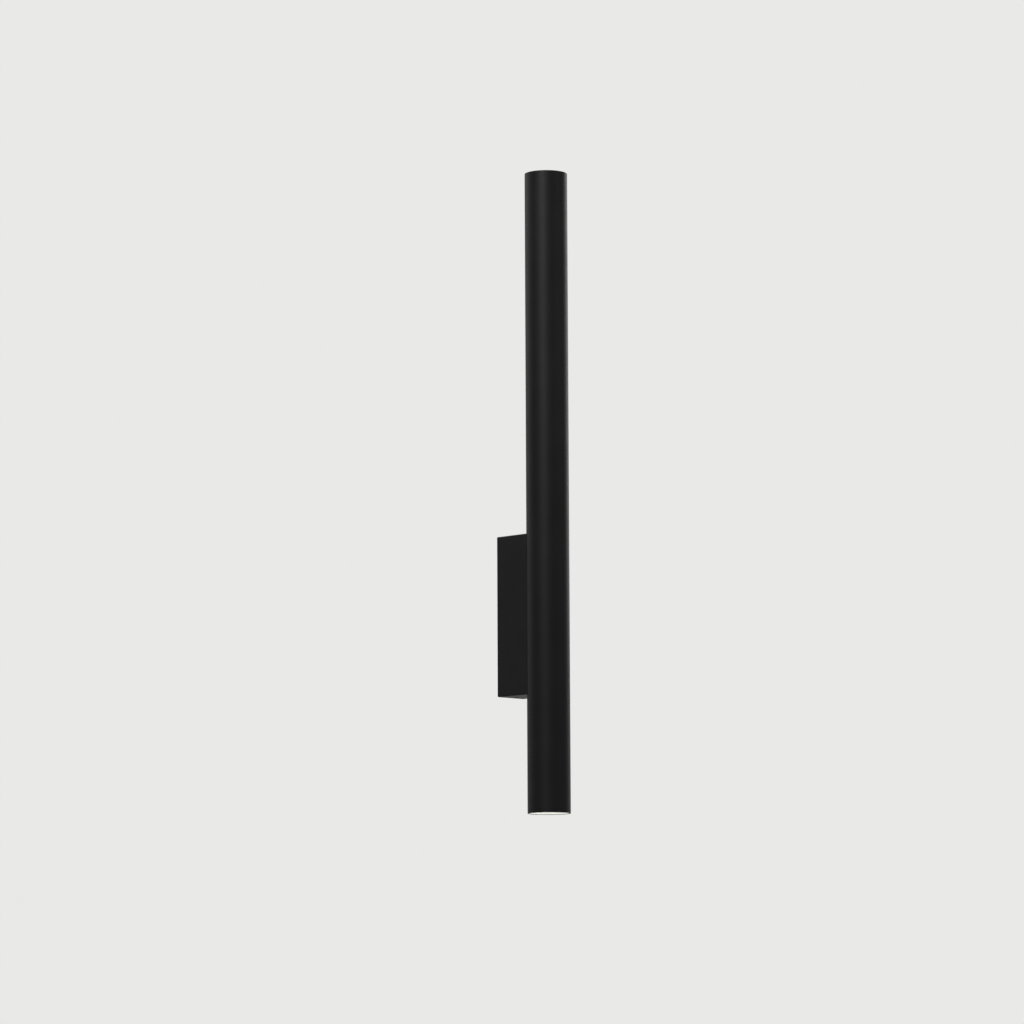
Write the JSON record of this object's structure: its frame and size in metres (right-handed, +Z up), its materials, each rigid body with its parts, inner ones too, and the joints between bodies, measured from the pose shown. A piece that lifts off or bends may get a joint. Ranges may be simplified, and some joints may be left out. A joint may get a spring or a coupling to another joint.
{
  "type": "tube wall light",
  "caption": "Slim round tube wall light, open at both ends, held off the wall by a narrow box, with recessed twist-lock lamps shining up and down.",
  "frame": {"origin": "on the wall, at the middle of the bracket's two wall slots", "axes": "+X along the wall, to the right seen from the room; +Y into the wall; +Z up along the tube"},
  "size_m": [0.04, 0.0699, 0.6],
  "materials": {
    "black_powder_coat": "matte fine-textured black powder coat on aluminium",
    "zinc_plated_steel": "satin bright zinc plate",
    "black_steel": "matte black oxide",
    "black_plastic": "matte moulded polyamide",
    "block_plastic": "matte natural polyamide",
    "brass": "satin turned brass",
    "tinned_copper": "satin tin plate on copper alloy",
    "brown_lead": "matte silicone insulation",
    "blue_lead": "matte silicone insulation",
    "green_lead": "matte green and yellow silicone insulation",
    "steatite": "matte fired steatite",
    "lamp_shell": "satin white thermoplastic",
    "lamp_lens": "frosted polycarbonate lens, lit",
    "lamp_board": "white solder mask on an aluminium board",
    "nickel_plate": "satin nickel plate",
    "white_enamel": "satin white enamel on spun aluminium"
  },
  "bodies": {
    "bracket": {"wall_bracket": "zinc_plated_steel", "cable_bushing": "black_plastic", "bracket_earth_washer": "zinc_plated_steel", "bracket_earth_screw": "brass"},
    "luminaire": {"tube_body": "black_powder_coat", "mount_box": "black_powder_coat", "threaded_nipple": "zinc_plated_steel", "nipple_nuts": "zinc_plated_steel", "nipple_washer": "zinc_plated_steel", "backing_bar": "zinc_plated_steel", "body_screws": "zinc_plated_steel", "body_screw_washers": "zinc_plated_steel", "earth_washer": "zinc_plated_steel", "terminal_screws": "zinc_plated_steel", "terminal_fixing_screws": "zinc_plated_steel", "lower_holder_cup": "zinc_plated_steel", "upper_holder_cup": "zinc_plated_steel", "lower_holder_screws": "zinc_plated_steel", "upper_holder_screws": "zinc_plated_steel", "locking_screws": "black_steel", "cup_screws": "black_steel", "nipple_liners": "black_plastic", "terminal_block": "block_plastic", "terminal_inserts": "brass", "earth_screw": "brass", "earth_ring_terminal": "tinned_copper", "lower_contacts": "tinned_copper", "upper_contacts": "tinned_copper", "live_leads": "brown_lead", "neutral_leads": "blue_lead", "earth_lead": "green_lead", "lower_lampholder": "steatite", "lower_holder_face": "steatite", "upper_lampholder": "steatite", "upper_holder_face": "steatite"},
    "lower_lamp": {"lower_lamp_shell": "lamp_shell", "lower_lamp_lens": "lamp_lens", "lower_lamp_board": "lamp_board", "lower_lamp_base": "lamp_shell", "lower_lamp_pins": "nickel_plate"},
    "upper_lamp": {"upper_lamp_shell": "lamp_shell", "upper_lamp_lens": "lamp_lens", "upper_lamp_board": "lamp_board", "upper_lamp_base": "lamp_shell", "upper_lamp_pins": "nickel_plate"},
    "lower_ring": {"lower_trim_ring": "white_enamel"},
    "upper_ring": {"upper_trim_ring": "white_enamel"}
  },
  "joints": [
    {"name": "luminaire_pull_off", "type": "slide", "parent": "bracket", "child": "luminaire", "axis": [0, -1, 0], "range_m": [0, 0.03]},
    {"name": "lower_lamp_twist", "type": "hinge", "parent": "luminaire", "child": "lower_lamp", "pos_m": [0, -0.05, -0.17], "axis": [0, 0, -1], "range_deg": [0, 25]},
    {"name": "upper_lamp_twist", "type": "hinge", "parent": "luminaire", "child": "upper_lamp", "pos_m": [0, -0.05, 0.4], "axis": [0, 0, 1], "range_deg": [0, 25]},
    {"name": "lower_ring_pull", "type": "slide", "parent": "luminaire", "child": "lower_ring", "axis": [0, 0, -1], "range_m": [0, 0.02]},
    {"name": "upper_ring_pull", "type": "slide", "parent": "luminaire", "child": "upper_ring", "axis": [0, 0, 1], "range_m": [0, 0.02]}
  ]
}
